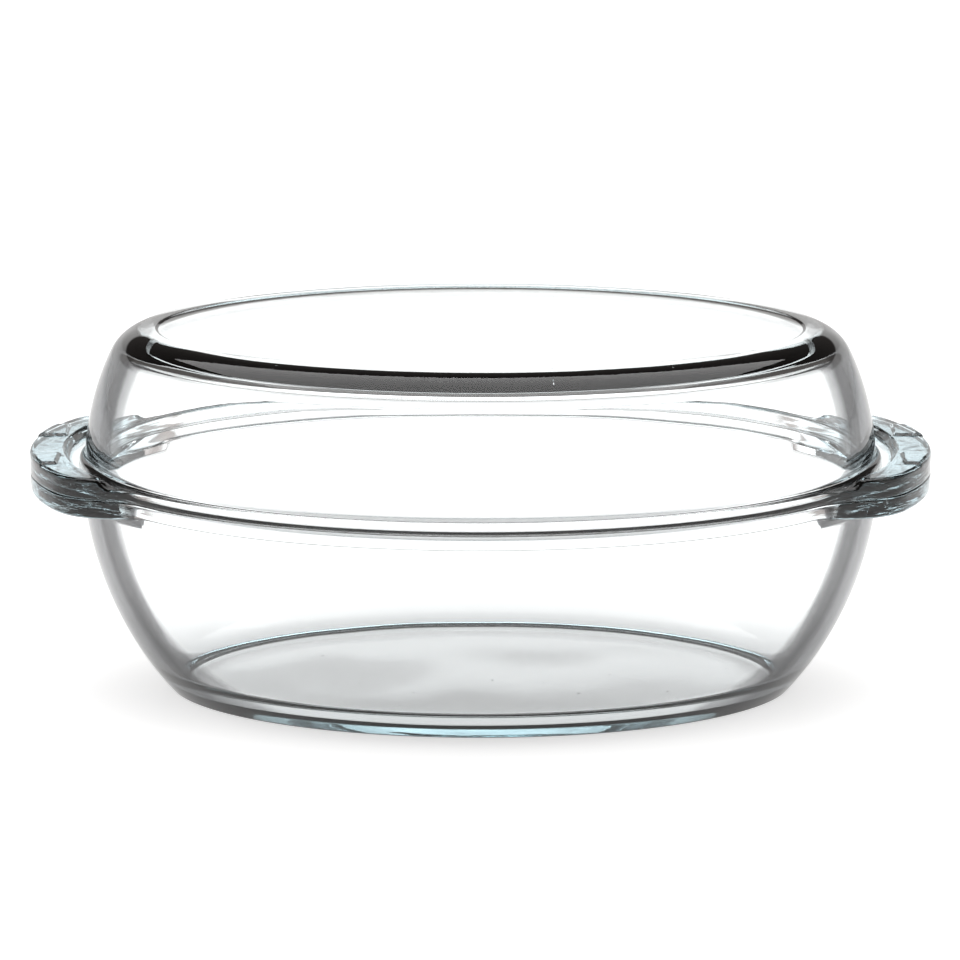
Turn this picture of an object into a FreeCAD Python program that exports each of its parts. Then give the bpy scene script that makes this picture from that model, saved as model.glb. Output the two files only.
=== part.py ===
# Covered casserole dish: a deep oval glass dish and a glass lid that turns over into a shallow dish.
# Millimetres. The foot stands on z = 0, the lugs point along X and the lid lifts along Z.
import FreeCAD, Part
import math
import os
import Sketcher

Vector = FreeCAD.Vector
Constraint = Sketcher.Constraint
upAxis = Vector(0, 0, 1)

# Every size is in millimetres. An inset is measured inwards from the edge of the rim.
sizes = {
    # The oval rim, shared by the dish and the lid: two end arcs and two flatter side arcs.
    "rimHalfLength": 158.0,
    "rimHalfWidth": 105.0,
    "rimEndRadius": 76.0,
    # The deep dish.
    "dishDepth": 89.5,
    "dishFlange": 5.2,
    "dishOverhang": 3.2,
    "dishRimRound": 1.8,
    "dishWall": 5.0,
    "dishBase": 6.0,
    "dishBow": 140.0,
    "dishCornerInset": 36.5,
    "dishFootRound": 3.0,
    "dishInnerRound": 22.0,
    "dishLugHeight": 7.8,
    # The lid.
    "lidDepth": 55.0,
    "lidFlange": 5.0,
    "lidOverhang": 4.5,
    "lidRimRound": 1.4,
    "lidWall": 5.5,
    "lidBase": 8.2,
    "lidBow": 105.0,
    "lidCornerInset": 20.0,
    "lidFootRound": 16.0,
    "lidInnerRound": 7.6,
    "lidLugHeight": 8.0,
    # The lugs, one at each end of both pieces.
    "lugProjection": 17.0,
    "lugHalfWidth": 54.5,
    "lugTipRadius": 75.0,
    "lugCornerRadius": 22.0,
    # The finger groove in the lid's lugs, beside the wall.
    "grooveGap": 1.0,
    "grooveWidth": 6.0,
    "grooveHalfSpan": 46.0,
    # The raised grip pads on the lid's lugs.
    "padHeight": 0.8,
    "padLength": 7.0,
    "padGap": 1.6,
    "padNear": 13.0,
    "padFar": 30.0,
    # How far the swept ring of the base runs under the plate that closes it.
    "plateRing": 9.0,
    "plateLap": 3.0,
}


def makeSheet(doc):
    sheet = doc.addObject("Spreadsheet::Sheet", "sizes")
    for row, (name, value) in enumerate(sizes.items(), start=1):
        sheet.set(f"A{row}", name)
        sheet.set(f"B{row}", str(value))
        sheet.setAlias(f"B{row}", name)
    doc.recompute()


def originPlane(body, role):
    return next(item for item in body.Origin.OriginFeatures if item.Role == role)


def makeSketch(body, name, role, height):
    """A sketch on one of the body's origin planes; height is an expression for its Z, or None."""
    sketch = body.newObject("Sketcher::SketchObject", name)
    sketch.AttachmentSupport = [(originPlane(body, role), "")]
    sketch.MapMode = "FlatFace"
    if height and role == "XY_Plane":
        sketch.setExpression(".AttachmentOffset.Base.z", height)
    if height and role == "YZ_Plane":
        sketch.setExpression(".AttachmentOffset.Base.y", height)
    return sketch


def size(sketch, constraint, name, expression):
    index = sketch.addConstraint(constraint)
    sketch.renameConstraint(index, name)
    sketch.setExpression(f"Constraints.{name}", expression)


def addLine(sketch, start, end):
    line = Part.LineSegment(Vector(*start, 0), Vector(*end, 0))
    return {"id": sketch.addGeometry(line), "first": 1, "last": 2}


def addArc(sketch, centre, radius, start, end, turnsLeft):
    """An arc run from start to end; turnsLeft is its sense, because a stored arc always turns left."""
    fromAngle = math.atan2(start[1] - centre[1], start[0] - centre[0])
    toAngle = math.atan2(end[1] - centre[1], end[0] - centre[0])
    if not turnsLeft:
        fromAngle, toAngle = toAngle, fromAngle
    if toAngle < fromAngle:
        toAngle += 2 * math.pi
    circle = Part.Circle(Vector(*centre, 0), upAxis, radius)
    number = sketch.addGeometry(Part.ArcOfCircle(circle, fromAngle, toAngle))
    if turnsLeft:
        return {"id": number, "first": 1, "last": 2}
    return {"id": number, "first": 2, "last": 1}


def join(sketch, kind, before, after):
    sketch.addConstraint(Constraint(kind, before["id"], before["last"], after["id"], after["first"]))


def halfOval(body, name, inset, height, closed):
    """The half of the rim's oval on the +X side, moved inwards by inset; closed adds its straight side."""
    sketch = makeSketch(body, name, "XY_Plane", height)
    startInset = 1  # drawn just inside the rim; the constraints then move it to its inset
    centreX = sizes["rimHalfLength"] - sizes["rimEndRadius"]
    endRadius = sizes["rimEndRadius"] - startInset
    halfWidth = sizes["rimHalfWidth"] - startInset
    sideRadius = (centreX ** 2 + halfWidth ** 2 - endRadius ** 2) / (2 * (halfWidth - endRadius))
    sideY = sideRadius - halfWidth
    tilt = math.atan2(sideY, centreX)
    low = (centreX + endRadius * math.cos(tilt), -endRadius * math.sin(tilt))
    high = (low[0], -low[1])
    front = addArc(sketch, (0, sideY), sideRadius, (0, -halfWidth), low, True)
    end = addArc(sketch, (centreX, 0), endRadius, low, high, True)
    back = addArc(sketch, (0, -sideY), sideRadius, high, (0, halfWidth), True)
    join(sketch, "Tangent", front, end)
    join(sketch, "Tangent", end, back)
    sketch.addConstraint(Constraint("PointOnObject", end["id"], 3, -1))
    for side in (front, back):
        sketch.addConstraint(Constraint("PointOnObject", side["id"], 3, -2))
    sketch.addConstraint(Constraint("PointOnObject", front["id"], 1, -2))
    sketch.addConstraint(Constraint("PointOnObject", back["id"], 2, -2))
    sketch.addConstraint(Constraint("Equal", front["id"], back["id"]))
    size(sketch, Constraint("Radius", end["id"], endRadius), "endRadius", f"sizes.rimEndRadius - {inset}")
    size(sketch, Constraint("DistanceX", -1, 1, end["id"], 3, centreX), "endCentre",
         "sizes.rimHalfLength - sizes.rimEndRadius")
    size(sketch, Constraint("DistanceY", -1, 1, back["id"], 2, halfWidth), "halfWidth",
         f"sizes.rimHalfWidth - {inset}")
    if closed:
        straight = addLine(sketch, (0, halfWidth), (0, -halfWidth))
        join(sketch, "Coincident", back, straight)
        join(sketch, "Coincident", straight, front)
    return sketch


def wallSection(body, kind, up):
    """The glass section from the rim to the flat base, drawn at the -Y side of the oval.

    It hangs down from the rim plane on the dish, and stands up from it on the lid (up is True).
    """
    read = {key: sizes[kind + key] for key in (
        "Depth", "Flange", "Overhang", "RimRound", "Wall", "Base", "Bow", "CornerInset", "FootRound",
        "InnerRound")}
    halfWidth = sizes["rimHalfWidth"]
    sign = 1 if up else -1
    sketch = makeSketch(body, kind + "Section", "YZ_Plane", "sizes.dishDepth")

    def at(inset, depth):
        return (inset - halfWidth, sign * depth)

    # The outer wall is one arc through the back of the flange and the corner where it would meet the base.
    flangePoint = at(read["Overhang"], read["Flange"])
    cornerPoint = at(read["CornerInset"], read["Depth"])
    chord = (cornerPoint[0] - flangePoint[0], cornerPoint[1] - flangePoint[1])
    chordLength = math.hypot(*chord)
    rise = math.sqrt(read["Bow"] ** 2 - (chordLength / 2) ** 2)
    bowCentre = ((flangePoint[0] + cornerPoint[0]) / 2 - sign * chord[1] / chordLength * -rise,
                 (flangePoint[1] + cornerPoint[1]) / 2 - sign * chord[0] / chordLength * rise)
    innerBow = read["Bow"] - read["Wall"]
    rimInner = (bowCentre[0] - math.sqrt(innerBow ** 2 - bowCentre[1] ** 2), 0)

    def cornerRound(wallRadius, radius, depth):
        """Centre of a round inside the wall arc and the base, and its points on the wall and the base."""
        centreV = sign * (depth - radius)
        reach = wallRadius - radius
        centreU = bowCentre[0] - math.sqrt(reach ** 2 - (centreV - bowCentre[1]) ** 2)
        onWall = (bowCentre[0] + (centreU - bowCentre[0]) * wallRadius / reach,
                  bowCentre[1] + (centreV - bowCentre[1]) * wallRadius / reach)
        return (centreU, centreV), onWall, (centreU, sign * depth)

    footCentre, footWall, footEdge = cornerRound(read["Bow"], read["FootRound"], read["Depth"])
    innerDepth = read["Depth"] - read["Base"]
    innerCentre, innerWallEnd, innerEdge = cornerRound(innerBow, read["InnerRound"], innerDepth)
    ringInset = footEdge[0] + halfWidth + sizes["plateRing"] + read["InnerRound"] / 2
    rimRound = read["RimRound"]
    flange = read["Flange"]

    rimFace = addLine(sketch, rimInner, at(rimRound, 0))
    rimCorner = addArc(sketch, at(rimRound, rimRound), rimRound, at(rimRound, 0), at(0, rimRound), not up)
    rimEdge = addLine(sketch, at(0, rimRound), at(0, flange - rimRound))
    backCorner = addArc(sketch, at(rimRound, flange - rimRound), rimRound, at(0, flange - rimRound),
                        at(rimRound, flange), not up)
    flangeBack = addLine(sketch, at(rimRound, flange), flangePoint)
    outerWall = addArc(sketch, bowCentre, read["Bow"], flangePoint, footWall, not up)
    footRound = addArc(sketch, footCentre, read["FootRound"], footWall, footEdge, not up)
    baseOuter = addLine(sketch, footEdge, at(ringInset, read["Depth"]))
    ringSide = addLine(sketch, at(ringInset, read["Depth"]), at(ringInset, innerDepth))
    baseInner = addLine(sketch, at(ringInset, innerDepth), innerEdge)
    innerRound = addArc(sketch, innerCentre, read["InnerRound"], innerEdge, innerWallEnd, up)
    innerWall = addArc(sketch, bowCentre, innerBow, innerWallEnd, rimInner, up)

    smooth = ((rimFace, rimCorner), (rimCorner, rimEdge), (rimEdge, backCorner), (backCorner, flangeBack),
              (outerWall, footRound), (footRound, baseOuter), (baseInner, innerRound),
              (innerRound, innerWall))
    for before, after in smooth:
        join(sketch, "Tangent", before, after)
    sharp = ((flangeBack, outerWall), (baseOuter, ringSide), (ringSide, baseInner), (innerWall, rimFace))
    for before, after in sharp:
        join(sketch, "Coincident", before, after)
    sketch.addConstraint(Constraint("PointOnObject", rimFace["id"], 1, -1))
    sketch.addConstraint(Constraint("PointOnObject", rimFace["id"], 2, -1))
    for line in (rimEdge, ringSide):
        sketch.addConstraint(Constraint("Vertical", line["id"]))
    for line in (flangeBack, baseOuter, baseInner):
        sketch.addConstraint(Constraint("Horizontal", line["id"]))
    sketch.addConstraint(Constraint("Coincident", outerWall["id"], 3, innerWall["id"], 3))
    corner = sketch.addGeometry(Part.Point(Vector(*cornerPoint, 0)), True)
    sketch.addConstraint(Constraint("PointOnObject", corner, 1, outerWall["id"]))

    def insetOf(item, point, name, expression):
        start = -sketch.getPoint(item, point).x
        size(sketch, Constraint("DistanceX", item, point, -1, 1, start), name,
             f"sizes.rimHalfWidth - ({expression})")

    def depthOf(item, point, name, expression):
        depth = abs(sketch.getPoint(item, point).y)
        ends = (-1, 1, item, point) if up else (item, point, -1, 1)
        size(sketch, Constraint("DistanceY", *ends, depth), name, expression)

    insetOf(rimEdge["id"], 1, "rimEdge", "0")
    insetOf(flangeBack["id"], 2, "overhang", f"sizes.{kind}Overhang")
    insetOf(corner, 1, "cornerInset", f"sizes.{kind}CornerInset")
    depthOf(corner, 1, "cornerDepth", f"sizes.{kind}Depth")
    depthOf(flangeBack["id"], 2, "flange", f"sizes.{kind}Flange")
    depthOf(baseOuter["id"], 2, "depth", f"sizes.{kind}Depth")
    depthOf(baseInner["id"], 1, "innerDepth", f"sizes.{kind}Depth - sizes.{kind}Base")
    size(sketch, Constraint("DistanceX", innerRound["id"], innerRound["first"], ringSide["id"], 1,
                            at(ringInset, 0)[0] - innerEdge[0]), "ring", "sizes.plateRing")
    radii = ((rimCorner, "rimRound", "RimRound"), (backCorner, "backRound", "RimRound"),
             (outerWall, "bow", "Bow"), (footRound, "footRound", "FootRound"),
             (innerRound, "innerRound", "InnerRound"))
    for arc, name, key in radii:
        size(sketch, Constraint("Radius", arc["id"], read[key]), name, f"sizes.{kind}{key}")
    size(sketch, Constraint("Radius", innerWall["id"], innerBow), "innerBow",
         f"sizes.{kind}Bow - sizes.{kind}Wall")
    reach = sketch.addConstraint(Constraint("DistanceX", ringSide["id"], 1, -1, 1, halfWidth - ringInset))
    sketch.renameConstraint(reach, "ringReach")
    sketch.setDriving(reach, False)
    return sketch


def lugOutline(body, kind, height):
    """A lug seen from above: a shallow tip arc, two corner arcs, straight sides and a root in the wall."""
    sketch = makeSketch(body, kind + "LugOutline", "XY_Plane", height)
    centreX = sizes["rimHalfLength"] - sizes["rimEndRadius"]
    rootRadius = sizes["rimEndRadius"] - sizes[kind + "Overhang"] - sizes[kind + "Wall"] / 2
    halfWidth = sizes["lugHalfWidth"]
    tipRadius = sizes["lugTipRadius"]
    cornerRadius = sizes["lugCornerRadius"]
    tipX = sizes["rimHalfLength"] + sizes["lugProjection"] - tipRadius
    cornerY = halfWidth - cornerRadius
    cornerX = tipX + math.sqrt((tipRadius - cornerRadius) ** 2 - cornerY ** 2)
    meetX = tipX + (cornerX - tipX) * tipRadius / (tipRadius - cornerRadius)
    meetY = cornerY * tipRadius / (tipRadius - cornerRadius)
    rootX = centreX + math.sqrt(rootRadius ** 2 - halfWidth ** 2)

    frontSide = addLine(sketch, (rootX, -halfWidth), (cornerX, -halfWidth))
    frontCorner = addArc(sketch, (cornerX, -cornerY), cornerRadius, (cornerX, -halfWidth), (meetX, -meetY),
                         True)
    tip = addArc(sketch, (tipX, 0), tipRadius, (meetX, -meetY), (meetX, meetY), True)
    backCorner = addArc(sketch, (cornerX, cornerY), cornerRadius, (meetX, meetY), (cornerX, halfWidth), True)
    backSide = addLine(sketch, (cornerX, halfWidth), (rootX, halfWidth))
    root = addArc(sketch, (centreX, 0), rootRadius, (rootX, halfWidth), (rootX, -halfWidth), False)

    outline = (frontSide, frontCorner, tip, backCorner, backSide)
    for before, after in zip(outline, outline[1:]):
        join(sketch, "Tangent", before, after)
    join(sketch, "Coincident", backSide, root)
    join(sketch, "Coincident", root, frontSide)
    for side in (frontSide, backSide):
        sketch.addConstraint(Constraint("Horizontal", side["id"]))
    for arc in (tip, root):
        sketch.addConstraint(Constraint("PointOnObject", arc["id"], 3, -1))
    sketch.addConstraint(Constraint("Equal", frontCorner["id"], backCorner["id"]))
    size(sketch, Constraint("Radius", frontCorner["id"], cornerRadius), "corner", "sizes.lugCornerRadius")
    size(sketch, Constraint("Radius", tip["id"], tipRadius), "tip", "sizes.lugTipRadius")
    size(sketch, Constraint("DistanceX", -1, 1, tip["id"], 3, tipX), "tipCentre",
         "sizes.rimHalfLength + sizes.lugProjection - sizes.lugTipRadius")
    size(sketch, Constraint("Radius", root["id"], rootRadius), "root",
         f"sizes.rimEndRadius - sizes.{kind}Overhang - sizes.{kind}Wall / 2")
    size(sketch, Constraint("DistanceX", -1, 1, root["id"], 3, centreX), "rootCentre",
         "sizes.rimHalfLength - sizes.rimEndRadius")
    size(sketch, Constraint("DistanceY", -1, 1, backSide["id"], 1, halfWidth), "backSide",
         "sizes.lugHalfWidth")
    size(sketch, Constraint("DistanceY", frontSide["id"], 1, -1, 1, halfWidth), "frontSide",
         "sizes.lugHalfWidth")
    return sketch


def grooveOutline(body, height):
    """The finger groove seen from above: a band of arcs that follows the lid's wall."""
    sketch = makeSketch(body, "grooveOutline", "XY_Plane", height)
    centreX = sizes["rimHalfLength"] - sizes["rimEndRadius"]
    inner = sizes["rimEndRadius"] - sizes["lidOverhang"] + sizes["grooveGap"]
    outer = inner + sizes["grooveWidth"]
    tilt = math.asin(sizes["grooveHalfSpan"] / outer)

    def at(radius, sign):
        return (centreX + radius * math.cos(tilt), sign * radius * math.sin(tilt))

    outerArc = addArc(sketch, (centreX, 0), outer, at(outer, -1), at(outer, 1), True)
    backEnd = addLine(sketch, at(outer, 1), at(inner, 1))
    innerArc = addArc(sketch, (centreX, 0), inner, at(inner, 1), at(inner, -1), False)
    frontEnd = addLine(sketch, at(inner, -1), at(outer, -1))
    outline = (outerArc, backEnd, innerArc, frontEnd)
    for before, after in zip(outline, outline[1:] + outline[:1]):
        join(sketch, "Coincident", before, after)
    sketch.addConstraint(Constraint("Coincident", outerArc["id"], 3, innerArc["id"], 3))
    sketch.addConstraint(Constraint("PointOnObject", outerArc["id"], 3, -1))
    for end in (backEnd, frontEnd):
        sketch.addConstraint(Constraint("PointOnObject", outerArc["id"], 3, end["id"]))
    size(sketch, Constraint("DistanceX", -1, 1, outerArc["id"], 3, centreX), "centre",
         "sizes.rimHalfLength - sizes.rimEndRadius")
    size(sketch, Constraint("Radius", innerArc["id"], inner), "inner",
         "sizes.rimEndRadius - sizes.lidOverhang + sizes.grooveGap")
    size(sketch, Constraint("Radius", outerArc["id"], outer), "outer",
         "sizes.rimEndRadius - sizes.lidOverhang + sizes.grooveGap + sizes.grooveWidth")
    reach = sizes["grooveHalfSpan"]
    size(sketch, Constraint("DistanceY", -1, 1, outerArc["id"], 2, reach), "backReach",
         "sizes.grooveHalfSpan")
    size(sketch, Constraint("DistanceY", outerArc["id"], 1, -1, 1, reach), "frontReach",
         "sizes.grooveHalfSpan")
    return sketch


def padOutline(body, name, side, height):
    """One rectangular grip pad seen from above, on the front (side -1) or back (side 1) of a lug."""
    sketch = makeSketch(body, name, "XY_Plane", height)
    wallX = sizes["rimHalfLength"] - sizes["lidOverhang"]
    left = wallX + sizes["grooveGap"] + sizes["grooveWidth"] + sizes["padGap"]
    right = left + sizes["padLength"]
    near = side * sizes["padNear"]
    far = side * sizes["padFar"]
    nearEdge = addLine(sketch, (left, near), (right, near))
    tipEdge = addLine(sketch, (right, near), (right, far))
    farEdge = addLine(sketch, (right, far), (left, far))
    wallEdge = addLine(sketch, (left, far), (left, near))
    outline = (nearEdge, tipEdge, farEdge, wallEdge)
    for before, after in zip(outline, outline[1:] + outline[:1]):
        join(sketch, "Coincident", before, after)
    for edge in (nearEdge, farEdge):
        sketch.addConstraint(Constraint("Horizontal", edge["id"]))
    for edge in (tipEdge, wallEdge):
        sketch.addConstraint(Constraint("Vertical", edge["id"]))
    fromWall = "sizes.rimHalfLength - sizes.lidOverhang + sizes.grooveGap + sizes.grooveWidth + sizes.padGap"
    size(sketch, Constraint("DistanceX", -1, 1, nearEdge["id"], 1, left), "left", fromWall)
    size(sketch, Constraint("DistanceX", nearEdge["id"], 1, nearEdge["id"], 2, sizes["padLength"]), "length",
         "sizes.padLength")
    for edge, name in ((nearEdge, "padNear"), (farEdge, "padFar")):
        ends = (-1, 1, edge["id"], 1) if side > 0 else (edge["id"], 1, -1, 1)
        size(sketch, Constraint("DistanceY", *ends, sizes[name]), name, f"sizes.{name}")
    return sketch


def addPad(body, name, sketch, length):
    pad = body.newObject("PartDesign::Pad", name)
    pad.Profile = sketch
    pad.setExpression("Length", length)
    return pad


def mouldedHalf(doc, kind, up):
    """The +X half of a piece: the wall swept round the half oval, and the flat base that closes it."""
    body = doc.addObject("PartDesign::Body", kind)
    body.Label = kind
    path = halfOval(body, kind + "Path", "0", None, False)
    section = wallSection(body, kind, up)
    wall = body.newObject("PartDesign::AdditivePipe", kind + "Walls")
    wall.Profile = (section, [""])
    wall.Spine = (path, [""])
    doc.recompute()
    inset = f"(sizes.rimHalfWidth - {section.Name}.Constraints.ringReach / 1 mm - sizes.plateLap)"
    low = "sizes.dishDepth + sizes.lidDepth - sizes.lidBase" if up else None
    plate = halfOval(body, kind + "PlateOutline", inset, low, True)
    addPad(body, kind + "Plate", plate, f"sizes.{kind}Base")
    doc.recompute()
    return body


def mirrorWhole(doc, body, name):
    """Mirror the finished half across the YZ plane, so that both ends match."""
    half = body.Tip
    mirrored = body.newObject("PartDesign::Mirrored", name)
    mirrored.TransformMode = "Whole shape"
    mirrored.MirrorPlane = (originPlane(body, "YZ_Plane"), [""])
    body.Tip = mirrored
    doc.recompute()
    growth = mirrored.Shape.Volume / half.Shape.Volume
    assert abs(growth - 2) < 1e-3, f"{name} has {growth} times the volume of its half"


def makeDish(doc):
    body = mouldedHalf(doc, "dish", False)
    outline = lugOutline(body, "dish", "sizes.dishDepth - sizes.dishLugHeight")
    addPad(body, "dishLug", outline, "sizes.dishLugHeight")
    doc.recompute()
    mirrorWhole(doc, body, "dishBothEnds")
    return body


def makeLid(doc):
    body = mouldedHalf(doc, "lid", True)
    addPad(body, "lidLug", lugOutline(body, "lid", "sizes.dishDepth"), "sizes.lidLugHeight")
    doc.recompute()
    groove = body.newObject("PartDesign::Pocket", "fingerGroove")
    groove.Profile = grooveOutline(body, "sizes.dishDepth + sizes.lidLugHeight")
    groove.setExpression("Length", "sizes.lidLugHeight - sizes.lidFlange")
    doc.recompute()
    for name, side in (("frontPad", -1), ("backPad", 1)):
        outline = padOutline(body, name + "Outline", side, "sizes.dishDepth + sizes.lidLugHeight")
        addPad(body, name, outline, "sizes.padHeight")
    doc.recompute()
    mirrorWhole(doc, body, "lidBothEnds")
    return body


def checkDocument(doc, bodies):
    for item in doc.Objects:
        faults = [state for state in item.State if state in ("Invalid", "Error")]
        assert not faults, f"{item.Name} failed: {faults}"
        if item.isDerivedFrom("Sketcher::SketchObject"):
            assert item.FullyConstrained, f"{item.Name} is loose"
    for body in bodies:
        assert not body.Shape.isNull() and body.Shape.isValid(), f"{body.Label} has no valid shape"
        assert len(body.Shape.Solids) == 1, f"{body.Label} is not one solid"


def main():
    doc = FreeCAD.newDocument("casserole")
    makeSheet(doc)
    bodies = [makeDish(doc), makeLid(doc)]
    doc.recompute()
    checkDocument(doc, bodies)
    os.makedirs("parts", exist_ok=True)
    for body in bodies:
        body.Shape.exportStep(f"parts/{body.Label}.step")
        box = body.Shape.BoundBox
        print(body.Label, round(box.XLength, 2), round(box.YLength, 2), round(box.ZMin, 2),
              round(box.ZMax, 2), round(body.Shape.Volume / 1000, 1), "cm3")


main()
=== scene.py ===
import math

import bpy
import numpy as np
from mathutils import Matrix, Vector


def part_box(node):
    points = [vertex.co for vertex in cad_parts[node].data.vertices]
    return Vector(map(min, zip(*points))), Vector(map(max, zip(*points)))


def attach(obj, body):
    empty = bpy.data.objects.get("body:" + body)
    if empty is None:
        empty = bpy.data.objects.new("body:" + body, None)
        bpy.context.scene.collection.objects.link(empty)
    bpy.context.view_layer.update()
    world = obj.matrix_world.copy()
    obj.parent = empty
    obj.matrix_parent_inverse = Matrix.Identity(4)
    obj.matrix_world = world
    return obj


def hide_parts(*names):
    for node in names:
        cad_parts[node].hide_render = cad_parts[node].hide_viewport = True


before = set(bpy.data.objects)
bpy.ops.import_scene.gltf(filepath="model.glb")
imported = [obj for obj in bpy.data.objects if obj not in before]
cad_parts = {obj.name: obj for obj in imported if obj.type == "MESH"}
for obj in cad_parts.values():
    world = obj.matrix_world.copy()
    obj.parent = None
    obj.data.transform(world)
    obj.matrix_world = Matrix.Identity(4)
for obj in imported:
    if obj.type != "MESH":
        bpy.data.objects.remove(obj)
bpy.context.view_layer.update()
mm = 0.001

dishLow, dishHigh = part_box("dish")
lidLow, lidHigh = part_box("lid")
rimPlane = dishHigh.z / mm
lugReach = dishHigh.x / mm
rimHalfWidth = dishHigh.y / mm


# 0 below low, 1 above high and an S-curve between; it falls when low is above high.
def ramp(low, high, value):
    part = np.clip((value - low) / (high - low), 0.0, 1.0)
    return part * part * (3 - 2 * part)


def softMin(a, b, blend):
    part = np.clip(0.5 + 0.5 * (b - a) / blend, 0.0, 1.0)
    return b + (a - b) * part - blend * part * (1 - part)


# The oval and its lugs, seen from above. Millimetres, as in every dictionary here.
outlineSize = {
    "lugProjection": 17.0,
    "lugHalfWidth": 54.5,
    "lugTipRadius": 75.0,
    "lugCornerBlend": 13.0,
    "coveBlend": 9.0,
    "lugStep": 0.7,
    "sideStep": 2.4,
}
rimHalfLength = lugReach - outlineSize["lugProjection"]


# Points of the rim's oval and the outward normals there.
def rimPoints(t):
    points = np.stack([rimHalfLength * np.cos(t), rimHalfWidth * np.sin(t)], axis=-1)
    normals = np.stack([np.cos(t) / rimHalfLength, np.sin(t) / rimHalfWidth], axis=-1)
    return points, normals / np.linalg.norm(normals, axis=-1, keepdims=True)


# How far a point lies outside the lug's outline; negative inside it.
def lugDistance(points):
    size = outlineSize
    along = np.abs(points[..., 0]) - (lugReach - size["lugTipRadius"])
    tip = np.hypot(along, points[..., 1]) - size["lugTipRadius"]
    side = np.abs(points[..., 1]) - size["lugHalfWidth"]
    return -softMin(-tip, -side, size["lugCornerBlend"])


# How far the outline stands out from the rim's oval, measured along its normal.
def edgeReach(t):
    points, normals = rimPoints(t)
    low = np.zeros_like(t)
    high = np.full_like(t, 30.0)
    for _ in range(40):
        middle = (low + high) / 2
        spot = points + middle[..., None] * normals
        outside = softMin(middle, lugDistance(spot), outlineSize["coveBlend"]) > 0
        high = np.where(outside, middle, high)
        low = np.where(outside, low, middle)
    return low


# Places round the oval: close together along the lugs, wider along the plain sides.
def makeStations():
    fine = np.linspace(0, 2 * math.pi, 20001)
    points, normals = rimPoints(fine)
    reach = edgeReach(fine)
    edge = points + reach[:, None] * normals
    length = np.linalg.norm(np.diff(edge, axis=0), axis=1)
    nearLug = ramp(66, 52, np.abs(points[:-1, 1]))
    step = outlineSize["sideStep"] + (outlineSize["lugStep"] - outlineSize["sideStep"]) * nearLug
    count = np.concatenate([[0], np.cumsum(length / step)])
    total = int(round(count[-1] / 4)) * 4
    t = np.interp(np.arange(total) * count[-1] / total, count, fine)
    return t


# 1 along the middle of a lug, falling to 0 where its side runs into the flange.
def lugWeight(points):
    return ramp(61, 50, np.abs(points[..., 1]))


lidSize = {
    "up": 1,
    "depth": 55.0, "flange": 5.0, "overhang": 4.5, "wall": 5.5, "base": 8.2,
    "bow": 105.0, "cornerInset": 20.0, "footRound": 16.0, "innerRound": 7.6,
    "rimRound": 0.8, "lugRound": 1.6, "seatRound": 0.5, "lugHeight": 8.0,
    "seatGap": 0.12, "rimInnerRound": 1.4, "wallCove": 2.0,
    "standWidth": 3.0, "standSlope": 1.4, "standHeight": 0.5,
}
dishSize = {
    "up": -1,
    "depth": 89.5, "flange": 5.2, "overhang": 3.2, "wall": 5.0, "base": 6.0,
    "bow": 140.0, "cornerInset": 36.5, "footRound": 3.0, "innerRound": 22.0,
    "rimRound": 1.0, "lugRound": 2.0, "seatRound": 1.4, "lugHeight": 7.8,
    "seatGap": 0.0, "rimInnerRound": 3.0, "wallCove": 1.2,
    "standWidth": 3.5, "standSlope": 1.4, "standHeight": 0.5,
}
# The lid's lugs: a groove beside the wall, then a plate with raised grip pads.
lugTop = {
    "plateStart": 1.6, "plateSide": 2.4, "padRise": 0.75, "padSide": 0.7,
    "padNear": 13.0, "padFar": 29.5, "padInner": 162.0, "padMargin": 3.2,
}


# The glass section as inset and depth: the wall arcs and their rounds, from the rim to the base.
def wallCurve(size):
    flangePoint = np.array([size["overhang"], size["flange"]])
    cornerPoint = np.array([size["cornerInset"], size["depth"]])
    chord = cornerPoint - flangePoint
    length = np.hypot(*chord)
    rise = math.sqrt(size["bow"] ** 2 - (length / 2) ** 2)
    inward = np.array([chord[1], -chord[0]]) / length
    centre = (flangePoint + cornerPoint) / 2 + inward * rise

    def corner(wallRadius, radius, depth):
        reach = wallRadius - radius
        level = depth - radius
        across = centre[0] - math.sqrt(reach ** 2 - (level - centre[1]) ** 2)
        roundCentre = np.array([across, level])
        onWall = centre + (roundCentre - centre) * wallRadius / reach
        return roundCentre, onWall

    return centre, corner


def arcPoints(centre, radius, start, end, count, keepEnds=(True, True)):
    a = math.atan2(start[1] - centre[1], start[0] - centre[0])
    b = math.atan2(end[1] - centre[1], end[0] - centre[0])
    if b - a > math.pi:
        b -= 2 * math.pi
    if a - b > math.pi:
        b += 2 * math.pi
    angles = np.linspace(a, b, count)
    angles = angles[0 if keepEnds[0] else 1:count if keepEnds[1] else count - 1]
    return np.stack([centre[0] + radius * np.cos(angles), centre[1] + radius * np.sin(angles)], axis=-1)


# Height of the flange's or lug's free face at distance s outside the oval.
def topHeight(size, spots, s):
    weight = lugWeight(spots)
    if size["up"] < 0:
        return size["flange"] + (size["lugHeight"] - size["flange"]) * weight
    rise = size["lugHeight"] - size["flange"]
    plate = ramp(lugTop["plateStart"], lugTop["plateStart"] + lugTop["plateSide"], s)
    height = size["flange"] + rise * weight * plate
    x, y = np.abs(spots[..., 0]), np.abs(spots[..., 1])
    soft = lugTop["padSide"]
    across = ramp(lugTop["padNear"], lugTop["padNear"] + soft, y)
    across = across * ramp(lugTop["padFar"] + soft, lugTop["padFar"], y)
    outer = lugReach - lugTop["padMargin"] - (lugReach - lugTop["padInner"]) * (y / 60) ** 2
    along = ramp(lugTop["padInner"], lugTop["padInner"] + soft, x) * ramp(outer + soft, outer, x)
    return height + lugTop["padRise"] * across * along


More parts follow.
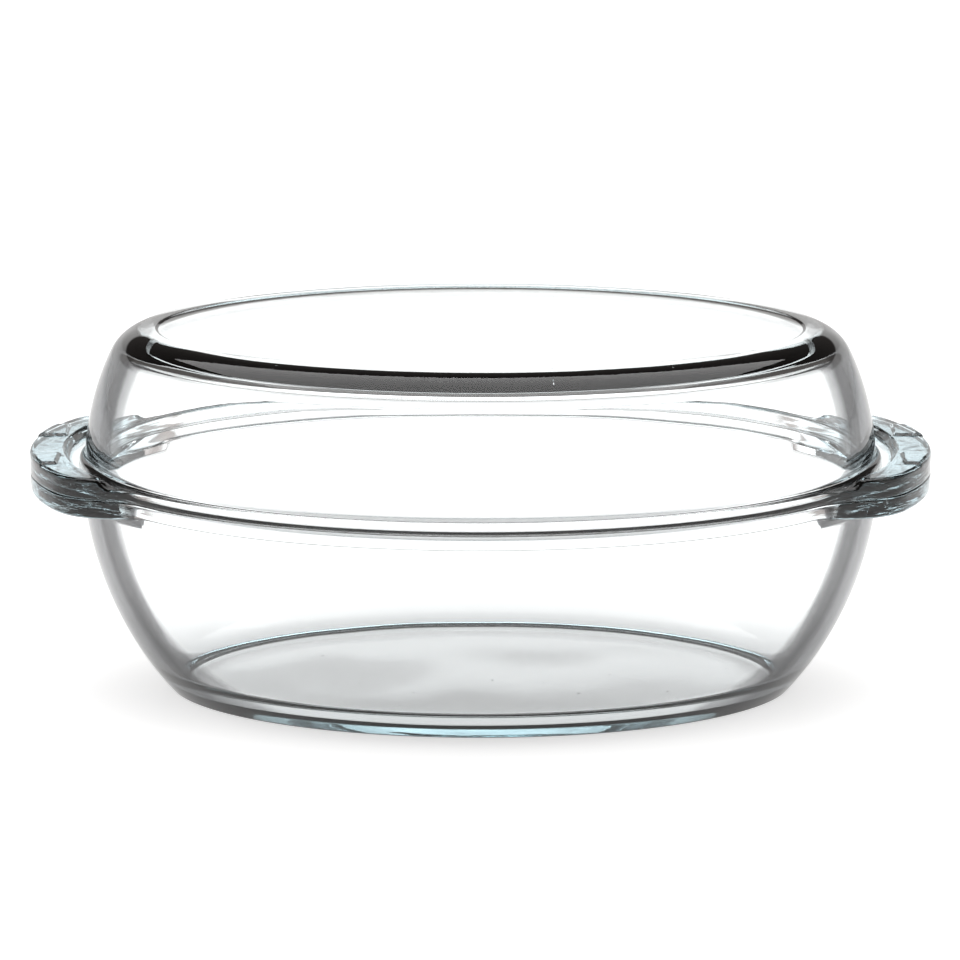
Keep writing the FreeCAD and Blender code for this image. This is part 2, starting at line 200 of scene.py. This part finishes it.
# Seeds: small bubbles of air closed inside the glass.
seedSize = {
    "inBase": 26, "inEachLug": 22, "least": 0.16, "most": 0.42, "smallest": 0.08,
    "baseSpread": 0.9, "baseDepths": (0.3, 0.7), "lugHalfWidth": 44, "lugDepths": (2.0, 5.8),
    "lugInner": 6, "lugOuter": 4, "sides": 8, "bands": 6, "randomStart": 7,
}


# Adds each bubble as a small closed skin that faces inwards.
def addSeeds(size, vertices, faces, baseInset):
    dice = np.random.default_rng(seedSize["randomStart"] + size["up"])
    spots = []
    for _ in range(seedSize["inBase"]):
        turn, away = dice.uniform(0, 2 * math.pi), math.sqrt(dice.uniform(0, 1)) * seedSize["baseSpread"]
        depth = size["depth"] - size["base"] * dice.uniform(*seedSize["baseDepths"])
        spots.append(((rimHalfLength - baseInset) * away * math.cos(turn),
                      (rimHalfWidth - baseInset) * away * math.sin(turn), depth))
    tipRadius = outlineSize["lugTipRadius"]
    for side in (-1, 1):
        for _ in range(seedSize["inEachLug"]):
            y = dice.uniform(-seedSize["lugHalfWidth"], seedSize["lugHalfWidth"])
            near = rimHalfLength * math.sqrt(1 - (y / rimHalfWidth) ** 2) + seedSize["lugInner"]
            far = lugReach - tipRadius + math.sqrt(tipRadius ** 2 - y ** 2) - seedSize["lugOuter"]
            x = side * (near + (far - near) * dice.uniform(0, 1))
            spots.append((x, y, dice.uniform(*seedSize["lugDepths"])))
    sides, bands = seedSize["sides"], seedSize["bands"]
    for x, y, depth in spots:
        radius = dice.uniform(seedSize["least"], seedSize["most"]) ** 2 / seedSize["most"]
        radius = radius + seedSize["smallest"]
        first = len(vertices)
        middle = np.array([x, y, rimPlane + size["up"] * depth])
        for band in range(bands + 1):
            rise = math.pi * band / bands
            around = range(sides) if 0 < band < bands else range(1)
            for step in around:
                turn = 2 * math.pi * step / sides
                flat = math.sin(rise)
                way = np.array([flat * math.cos(turn), flat * math.sin(turn), math.cos(rise)])
                vertices.append(tuple((middle + radius * way) * mm))
        last = len(vertices) - 1
        for step in range(sides):
            beside = (step + 1) % sides
            faces.append((first, first + 1 + beside, first + 1 + step))
            faces.append((last, last - sides + step, last - sides + beside))
            for band in range(bands - 2):
                a = first + 1 + band * sides
                faces.append((a + step, a + beside, a + sides + beside, a + sides + step))
    return vertices, faces


# A closed skin: rings of points from the middle of the inner face, over the rim, to the outer face.
def buildPiece(name, size, t):
    points, normals = rimPoints(t)
    reach = edgeReach(t)
    weight = lugWeight(points)
    centre, corner = wallCurve(size)
    innerBow = size["bow"] - size["wall"]
    innerDepth = size["depth"] - size["base"]
    innerCentre, innerOnWall = corner(innerBow, size["innerRound"], innerDepth)
    outerCentre, outerOnWall = corner(size["bow"], size["footRound"], size["depth"])
    gap = size["seatGap"]
    rings = []

    # s is the distance outside the oval and depth the distance from the rim plane.
    def addRing(s, depth):
        s = np.broadcast_to(s, t.shape)
        depth = np.broadcast_to(depth, t.shape)
        flat = points + s[:, None] * normals
        rings.append(np.concatenate([flat, (rimPlane + size["up"] * depth)[:, None]], axis=1))

    # Rings that fill the flat base, from the edge ring to the middle or back.
    def addPlate(edge, depth, inwards, count=16):
        flat = points - edge * normals
        steps = np.linspace(1, 0, count + 1)[1:-1] ** 0.8
        made = [np.concatenate([flat * step, np.full((len(t), 1), rimPlane + size["up"] * depth)], axis=1)
                for step in steps]
        return made if inwards else made[::-1]

    rings.extend(addPlate(innerCentre[0], innerDepth, False))
    # Inside face: the round at the base, then the wall up to the rim's inner edge.
    baseEdge = (innerCentre[0], innerDepth)
    for inset, depth in arcPoints(innerCentre, size["innerRound"], baseEdge, innerOnWall, 14):
        addRing(-inset, depth)
    edgeRound = size["rimInnerRound"]
    wallTop = centre[0] - math.sqrt(innerBow ** 2 - (centre[1] - gap - edgeRound) ** 2)
    wallEnd = (wallTop, gap + edgeRound)
    for inset, depth in arcPoints(centre, innerBow, innerOnWall, wallEnd, 18, (False, True)):
        addRing(-inset, depth)
    for angle in np.radians(np.linspace(0, 90, 9)[1:]):
        addRing(-(wallTop - edgeRound * (1 - math.cos(angle))), gap + edgeRound * (1 - math.sin(angle)))
    seatInner = -(wallTop - edgeRound)
    # The flat seat, out to the edge of the rim or lug.
    rimRound = size["rimRound"] + (size["lugRound"] - size["rimRound"]) * weight
    seatRound = size["seatRound"] * (1 - 0.4 * weight)
    for part in np.linspace(0, 1, 8)[1:]:
        addRing(seatInner + (reach - seatRound - seatInner) * part, gap)
    for angle in np.radians([22, 45, 67, 90]):
        addRing(reach - seatRound * (1 - math.sin(angle)), gap + seatRound * (1 - math.cos(angle)))
    # The side of the rim or lug, then over its other edge.
    edgeSpots = points + (reach - 3)[:, None] * normals
    edgeHeight = topHeight(size, edgeSpots, reach - 3)
    outerRound = np.minimum(rimRound, edgeHeight * 0.45)
    for part in (0.25, 0.5, 0.75, 1.0):
        addRing(reach, gap + seatRound + (edgeHeight - outerRound - gap - seatRound) * part)
    for angle in np.radians([22, 45, 67, 90]):
        addRing(reach - outerRound * (1 - math.cos(angle)), edgeHeight - outerRound * (1 - math.sin(angle)))
    # The free face of the flange and lug, in to the cove at the wall's foot.
    cove = size["wallCove"]
    coveStart = -size["overhang"] + cove
    start = reach - outerRound
    for part in np.linspace(0, 1, 34)[1:]:
        s = start + (coveStart - start) * part
        spots = points + s[:, None] * normals
        addRing(s, topHeight(size, spots, s))
    coveDepth = topHeight(size, points + coveStart * normals, np.full_like(t, coveStart))
    for angle in np.radians([25, 50, 75]):
        inset = size["overhang"] - cove * (1 - math.sin(angle))
        addRing(-inset, coveDepth + cove * (1 - math.cos(angle)))
    # Outside face: the wall, the round at the base and the flat base.
    depthStart = size["flange"] + cove
    wallStart = centre[0] - math.sqrt(size["bow"] ** 2 - (centre[1] - depthStart) ** 2)
    for inset, depth in arcPoints(centre, size["bow"], (wallStart, depthStart), outerOnWall, 18):
        addRing(-inset, depth)
    footEdge = (outerCentre[0], size["depth"])
    for inset, depth in arcPoints(outerCentre, size["footRound"], outerOnWall, footEdge, 14, (False, True)):
        addRing(-inset, depth)
    # A low stand runs round the flat base, and the base is sunk a little inside it.
    for part in (0.5, 1.0):
        addRing(-(outerCentre[0] + size["standWidth"] * part), size["depth"])
    for part in (0.2, 0.5, 0.8, 1.0):
        addRing(-(outerCentre[0] + size["standWidth"] + size["standSlope"] * part),
                size["depth"] - size["standHeight"] * ramp(0, 1, part))
    sunkEdge = outerCentre[0] + size["standWidth"] + size["standSlope"]
    rings.extend(addPlate(sunkEdge, size["depth"] - size["standHeight"], True))

    count = len(t)
    vertices = np.concatenate(rings + [np.array([[0, 0, rings[0][0, 2]], [0, 0, rings[-1][0, 2]]])]) * mm
    faces = []
    for ring in range(len(rings) - 1):
        a = ring * count
        b = a + count
        for i in range(count):
            j = (i + 1) % count
            faces.append((a + i, b + i, b + j, a + j))
    first = len(rings) * count
    last = (len(rings) - 1) * count
    for i in range(count):
        j = (i + 1) % count
        faces.append((first, i, j))
        faces.append((first + 1, last + j, last + i))
    if size["up"] > 0:
        faces = [face[::-1] for face in faces]
    vertices, faces = addSeeds(size, [tuple(v) for v in vertices], faces, innerCentre[0])
    mesh = bpy.data.meshes.new(name)
    mesh.from_pydata(vertices, [], faces)
    mesh.update()
    mesh.shade_smooth()
    piece = bpy.data.objects.new(name, mesh)
    bpy.context.scene.collection.objects.link(piece)
    print(name, len(vertices), "points", len(faces), "faces")
    return piece


# A math node; a plain number goes on its socket and anything else is linked to it.
def mathNode(tree, operation, *values):
    node = tree.nodes.new("ShaderNodeMath")
    node.operation = operation
    for socket, value in zip(node.inputs, values):
        if isinstance(value, float):
            socket.default_value = value
        else:
            tree.links.new(value, socket)
    return node.outputs[0]


# 0 at low and 1 at high, with an S-curve between.
def riseNode(tree, value, low, high):
    node = tree.nodes.new("ShaderNodeMapRange")
    node.interpolation_type = "SMOOTHSTEP"
    node.inputs["From Min"].default_value = low
    node.inputs["From Max"].default_value = high
    tree.links.new(value, node.inputs["Value"])
    return node.outputs["Result"]


# Where the marks lie: the oval is 1 on the rim's edge; the rest is in metres from the middle or rim plane.
markSize = {
    "waveDetail": 1.0, "streakDetail": 3.0, "flowDetail": 2.0,
    "streakStretch": 0.12, "flowStretch": 0.12,
    "lugFrom": 1.0, "lugTo": 1.03,
    "rootFrom": 0.90, "rootTo": 0.96,
    "rootNear": (0.030, 0.044), "rootFar": (0.070, 0.063), "rootHeight": (0.0062, 0.0054),
}
dishMarks = {"Wave Scale": 14.0, "Streak Scale": 40.0, "Flow Scale": 640.0}
lidMarks = {"Wave Scale": 17.0, "Streak Scale": 46.0, "Flow Scale": 580.0}


# Marks that pressing leaves in both pieces: slow waves, drawn streaks, and ropy glass at the lugs, plus a
# mask for painted shade at the lugs' roots.
def makePressedGlass():
    size = markSize
    group = bpy.data.node_groups.new("pressedGlass", "ShaderNodeTree")
    for name, start in dishMarks.items():
        socket = group.interface.new_socket(name, in_out="INPUT", socket_type="NodeSocketFloat")
        socket.default_value = start
    for name in ("Waves", "Streaks", "Lugs", "RootShade", "Flow"):
        group.interface.new_socket(name, in_out="OUTPUT", socket_type="NodeSocketFloat")
    nodes, links = group.nodes, group.links
    given = nodes.new("NodeGroupInput")
    result = nodes.new("NodeGroupOutput")
    place = nodes.new("ShaderNodeTexCoord")

    waves = nodes.new("ShaderNodeTexNoise")
    waves.inputs["Detail"].default_value = size["waveDetail"]
    links.new(place.outputs["Object"], waves.inputs["Vector"])
    links.new(given.outputs["Wave Scale"], waves.inputs["Scale"])
    links.new(waves.outputs["Fac"], result.inputs["Waves"])

    # Streaks run down the walls, so their noise is stretched along Z.
    stretch = nodes.new("ShaderNodeMapping")
    stretch.inputs["Scale"].default_value = (1.0, 1.0, size["streakStretch"])
    streaks = nodes.new("ShaderNodeTexNoise")
    streaks.inputs["Detail"].default_value = size["streakDetail"]
    links.new(place.outputs["Object"], stretch.inputs["Vector"])
    links.new(stretch.outputs["Vector"], streaks.inputs["Vector"])
    links.new(given.outputs["Streak Scale"], streaks.inputs["Scale"])
    links.new(streaks.outputs["Fac"], result.inputs["Streaks"])

    # Masks for the lugs, which stand outside the rim's oval, and for the painted shade at their roots.
    parts = nodes.new("ShaderNodeSeparateXYZ")
    links.new(place.outputs["Object"], parts.inputs["Vector"])

    across = mathNode(group, "ABSOLUTE", mathNode(group, "DIVIDE", parts.outputs["X"], rimHalfLength * mm))
    deep = mathNode(group, "ABSOLUTE", mathNode(group, "DIVIDE", parts.outputs["Y"], rimHalfWidth * mm))
    oval = mathNode(group, "ADD", mathNode(group, "POWER", across, 2.0), mathNode(group, "POWER", deep, 2.0))
    links.new(riseNode(group, oval, size["lugFrom"], size["lugTo"]), result.inputs["Lugs"])
    away = mathNode(group, "ABSOLUTE", parts.outputs["Y"])
    level = mathNode(group, "ABSOLUTE", mathNode(group, "SUBTRACT", parts.outputs["Z"], rimPlane * mm))
    rootShadeMask = riseNode(group, oval, size["rootFrom"], size["rootTo"])
    for where, span in ((away, size["rootNear"]), (away, size["rootFar"]), (level, size["rootHeight"])):
        rootShadeMask = mathNode(group, "MULTIPLY", rootShadeMask, riseNode(group, where, *span))
    links.new(rootShadeMask, result.inputs["RootShade"])

    # Flow lines that run round the lugs' sides.
    flow = nodes.new("ShaderNodeMapping")
    flow.inputs["Scale"].default_value = (size["flowStretch"], size["flowStretch"], 1.0)
    ropes = nodes.new("ShaderNodeTexNoise")
    ropes.inputs["Detail"].default_value = size["flowDetail"]
    links.new(place.outputs["Object"], flow.inputs["Vector"])
    links.new(flow.outputs["Vector"], ropes.inputs["Vector"])
    links.new(given.outputs["Flow Scale"], ropes.inputs["Scale"])
    links.new(ropes.outputs["Fac"], result.inputs["Flow"])
    return group


glassSize = {
    "ior": 1.473, "flowFrom": 0.40, "flowTo": 0.58,
    "clear": (0.995, 0.995, 0.995, 1.0),
    # Painted edge shade against how far the glass turns from the eye: stop, then red, green and blue.
    "paintedEdgeShade": ((0.50, 0.98, 0.98, 0.98), (0.53, 0.30, 0.295, 0.30), (0.62, 0.03, 0.03, 0.032),
              (1.0, 0.01, 0.01, 0.011)),
    "streakShift": 0.07,
    "wallFrom": 0.996, "wallTo": 0.965,
    # The lug colour is the tint of thick glass; the root colour is painted shade, dark streaks at the lugs'
    # roots.
    "lugColour": (0.76, 0.84, 0.87, 1.0), "rootShadeColour": (0.16, 0.13, 0.12, 1.0),
    "depthColour": (0.40, 0.74, 0.82, 1.0), "depthDensity": 7.0,
    "waveHeight": 0.00045, "streakHeight": 0.00002, "flowHeight": 0.0003,
}


def glassMaterial(name, pressed, scales):
    size = glassSize
    material = bpy.data.materials.new(name)
    material.use_nodes = True
    tree = material.node_tree
    nodes, links = tree.nodes, tree.links
    shader = nodes["Principled BSDF"]
    shader.inputs["Roughness"].default_value = 0.0
    shader.inputs["IOR"].default_value = size["ior"]
    shader.inputs["Transmission Weight"].default_value = 1.0
    marks = nodes.new("ShaderNodeGroup")
    marks.node_tree = pressed
    for socket, value in scales.items():
        marks.inputs[socket].default_value = value

    # Painted shade: upright glass darkens as it turns edge-on to the eye, and the streaks shift where the
    # darkening starts; the flat base and rim don't darken.
    facing = nodes.new("ShaderNodeLayerWeight")
    facing.inputs["Blend"].default_value = 0.5
    shift = size["streakShift"]
    streaked = mathNode(tree, "MULTIPLY_ADD", marks.outputs["Streaks"], shift, -0.5 * shift)
    paintedEdgeShade = nodes.new("ShaderNodeValToRGB")
    stops = paintedEdgeShade.color_ramp.elements
    for index, (stop, *colour) in enumerate(size["paintedEdgeShade"]):
        element = stops[index] if index < 2 else stops.new(stop)
        element.position = stop
        element.color = (*colour, 1.0)
    links.new(mathNode(tree, "ADD", facing.outputs["Facing"], streaked), paintedEdgeShade.inputs["Fac"])
    surface = nodes.new("ShaderNodeNewGeometry")
    parts = nodes.new("ShaderNodeSeparateXYZ")
    links.new(surface.outputs["Normal"], parts.inputs["Vector"])
    upright = riseNode(tree, mathNode(tree, "ABSOLUTE", parts.outputs["Z"]), size["wallFrom"], size["wallTo"])
    upright = mathNode(tree, "MULTIPLY", upright, mathNode(tree, "SUBTRACT", 1.0, marks.outputs["Lugs"]))
    # Mixes the clear glass with the painted edge shade on upright faces, leaving out the lugs.
    edgeShadeMix = nodes.new("ShaderNodeMix")
    edgeShadeMix.data_type = "RGBA"
    edgeShadeMix.inputs[6].default_value = size["clear"]
    links.new(paintedEdgeShade.outputs["Color"], edgeShadeMix.inputs[7])
    links.new(upright, edgeShadeMix.inputs[0])
    colour = edgeShadeMix.outputs[2]
    # Painted shade at the lugs' roots: dark streaks where the flow noise is high.
    flowing = riseNode(tree, marks.outputs["Flow"], size["flowFrom"], size["flowTo"])
    for mask, tone in ((marks.outputs["Lugs"], size["lugColour"]),
                       (mathNode(tree, "MULTIPLY", marks.outputs["RootShade"], flowing), size["rootShadeColour"])):
        layer = nodes.new("ShaderNodeMix")
        layer.data_type = "RGBA"
        layer.blend_type = "MULTIPLY"
        layer.inputs[7].default_value = tone
        links.new(mask, layer.inputs[0])
        links.new(colour, layer.inputs[6])
        colour = layer.outputs[2]
    links.new(colour, shader.inputs["Base Color"])

    height = mathNode(tree, "MULTIPLY", marks.outputs["Waves"], size["waveHeight"])
    height = mathNode(tree, "MULTIPLY_ADD", marks.outputs["Streaks"], size["streakHeight"], height)
    roped = mathNode(tree, "MULTIPLY", marks.outputs["Flow"], marks.outputs["Lugs"])
    height = mathNode(tree, "MULTIPLY_ADD", roped, size["flowHeight"], height)
    bump = nodes.new("ShaderNodeBump")
    bump.inputs["Distance"].default_value = 1.0
    links.new(height, bump.inputs["Height"])
    links.new(bump.outputs["Normal"], shader.inputs["Normal"])

    absorption = nodes.new("ShaderNodeVolumeAbsorption")
    absorption.inputs["Color"].default_value = size["depthColour"]
    absorption.inputs["Density"].default_value = size["depthDensity"]
    links.new(absorption.outputs["Volume"], nodes["Material Output"].inputs["Volume"])
    return material


stations = makeStations()
pressedGlass = makePressedGlass()
dishGlass = glassMaterial("dishGlass", pressedGlass, dishMarks)
lidGlass = glassMaterial("lidGlass", pressedGlass, lidMarks)
print("glass materials made")
dish = buildPiece("glassDish", dishSize, stations)
dish.data.materials.append(dishGlass)
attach(dish, "dish")
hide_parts("dish")
lid = buildPiece("glassLid", lidSize, stations)
lid.data.materials.append(lidGlass)
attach(lid, "lid")
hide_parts("lid")


# The studio: a plain white floor, a bright band at the horizon and a dim ceiling.
studioSize = {
    "floorSide": 12.0, "floorGlow": 0.66, "floorColour": 0.66,
    "bandTop": 0.288, "ceilingFrom": 0.322, "bandGlow": 1.03, "ceilingGlow": 0.11,
    "bandColour": (1.0, 0.99, 0.98, 1.0), "ceilingColour": (1.0, 0.91, 0.86, 1.0),
    "overheadSide": 4.0, "overheadHeight": 3.0, "overheadPower": 135.0, "softboxPower": 6.0,
}


def makeFloor():
    size = studioSize
    side = size["floorSide"]
    mesh = bpy.data.meshes.new("floor")
    corners = [(-side, -side, 0), (side, -side, 0), (side, side, 0), (-side, side, 0)]
    mesh.from_pydata(corners, [], [(0, 1, 2, 3)])
    floor = bpy.data.objects.new("floor", mesh)
    floor.location.z = -0.0003
    material = bpy.data.materials.new("paleFloor")
    material.use_nodes = True
    shader = material.node_tree.nodes["Principled BSDF"]
    shader.inputs["Base Color"].default_value = (*[size["floorColour"]] * 3, 1)
    shader.inputs["Roughness"].default_value = 1.0
    shader.inputs["Specular IOR Level"].default_value = 0.0
    shader.inputs["Emission Color"].default_value = (1, 1, 1, 1)
    shader.inputs["Emission Strength"].default_value = size["floorGlow"]
    floor.data.materials.append(material)
    bpy.context.scene.collection.objects.link(floor)


def makeWorld():
    size = studioSize
    world = bpy.data.worlds.new("studio")
    bpy.context.scene.world = world
    world.use_nodes = True
    nodes, links = world.node_tree.nodes, world.node_tree.links
    background = nodes["Background"]
    place = nodes.new("ShaderNodeTexCoord")
    split = nodes.new("ShaderNodeSeparateXYZ")
    height = nodes.new("ShaderNodeMapRange")
    height.interpolation_type = "SMOOTHSTEP"
    height.inputs["From Min"].default_value = size["bandTop"]
    height.inputs["From Max"].default_value = size["ceilingFrom"]
    links.new(place.outputs["Generated"], split.inputs["Vector"])
    links.new(split.outputs["Z"], height.inputs["Value"])
    colour = nodes.new("ShaderNodeMix")
    colour.data_type = "RGBA"
    colour.inputs[6].default_value = [size["bandGlow"] * value for value in size["bandColour"]]
    colour.inputs[7].default_value = [size["ceilingGlow"] * value for value in size["ceilingColour"]]
    links.new(height.outputs["Result"], colour.inputs[0])
    links.new(colour.outputs[2], background.inputs["Color"])


cameraSize = {"distance": 1580.0, "height": 510.0, "pitch": 15.12, "focal": 4200.0}


def makeCamera():
    data = bpy.data.cameras.new("camera")
    data.sensor_width = 36.0
    data.lens = cameraSize["focal"] / 960 * data.sensor_width
    camera = bpy.data.objects.new("camera", data)
    bpy.context.scene.collection.objects.link(camera)
    camera.location = Vector((0, -cameraSize["distance"], cameraSize["height"])) * mm
    camera.rotation_euler = (math.radians(90 - cameraSize["pitch"]), 0, 0)
    data.shift_x = -0.5 / 960
    bpy.context.scene.camera = camera


def addSoftbox(name, location, size, power, target=(0, 0, 0.08)):
    data = bpy.data.lights.new(name, "AREA")
    data.shape = "RECTANGLE"
    data.size, data.size_y = size
    data.energy = power
    light = bpy.data.objects.new(name, data)
    light.location = location
    light.rotation_euler = (Vector(target) - light.location).to_track_quat("-Z", "Y").to_euler()
    bpy.context.scene.collection.objects.link(light)


makeFloor()
makeWorld()
addSoftbox("softboxLeft", (-1.6, -0.6, 1.6), (0.9, 1.4), studioSize["softboxPower"])
addSoftbox("softboxRight", (1.6, -0.6, 1.6), (0.9, 1.4), studioSize["softboxPower"])
addSoftbox("overhead", (0, 0.3, studioSize["overheadHeight"]), (studioSize["overheadSide"],) * 2,
           studioSize["overheadPower"], (0, 0.3, 0))
makeCamera()
print("studio and camera made")
bpy.context.scene.view_settings.view_transform = "Standard"
bpy.context.scene.cycles.max_bounces = 20
bpy.context.scene.cycles.transmission_bounces = 20
bpy.context.scene.cycles.caustics_refractive = False  # the glass throws a plain soft shadow
